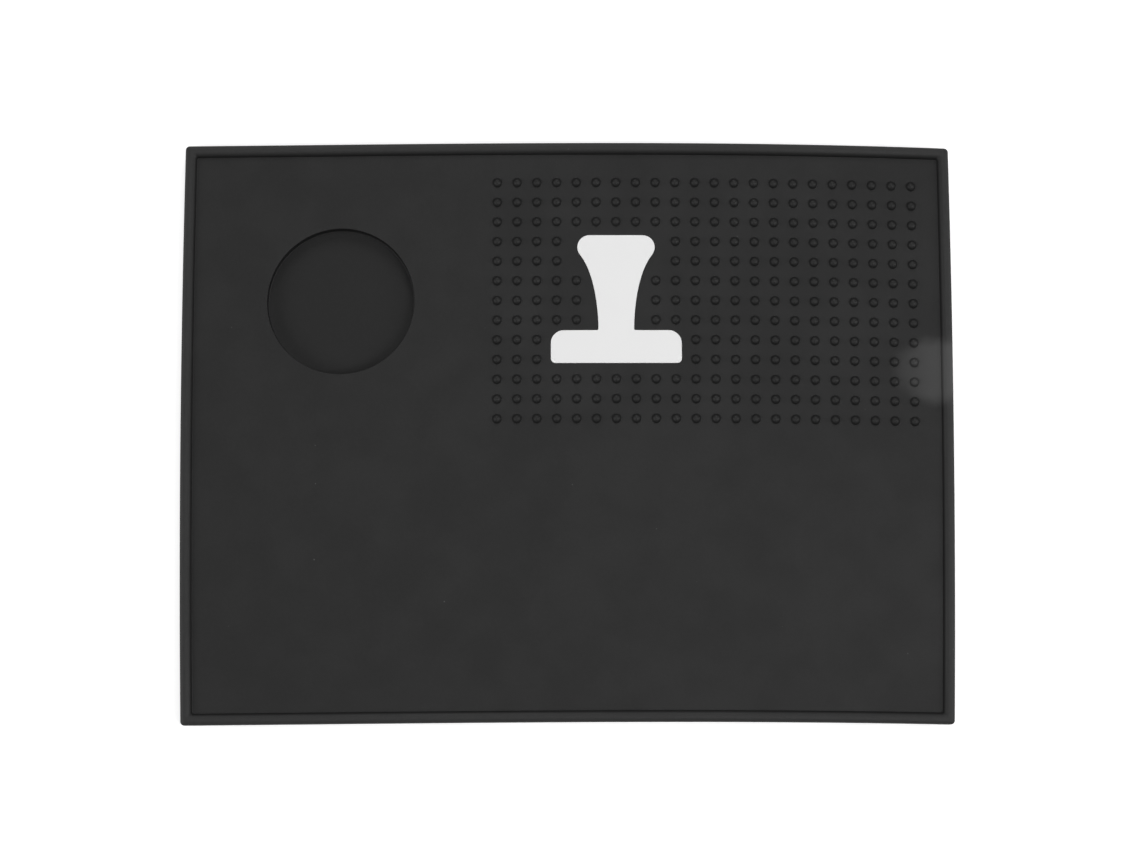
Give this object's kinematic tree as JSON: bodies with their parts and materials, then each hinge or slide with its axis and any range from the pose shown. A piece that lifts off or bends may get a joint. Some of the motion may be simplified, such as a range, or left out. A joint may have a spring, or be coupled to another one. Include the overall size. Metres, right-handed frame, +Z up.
{
  "type": "tamping mat",
  "caption": "Flat black rubber barista mat with a raised rim, a round seat for a tamper, a field of small nubs and a flush white tamper pictogram.",
  "frame": {"origin": "middle of the flat underside, on the surface the mat lies on", "axes": "+X along the length, from the tamper seat's end to the nubs' end; +Y across the width, from the bare strip to the seat and nubs; +Z up through the rim"},
  "size_m": [0.31, 0.234, 0.0096],
  "materials": {
    "black_rubber": "matt moulded silicone rubber, very fine grain",
    "white_rubber": "matt white silicone, smooth"
  },
  "bodies": {
    "root": {"mat_body": "black_rubber", "tamper_inlay": "white_rubber"}
  },
  "joints": []
}
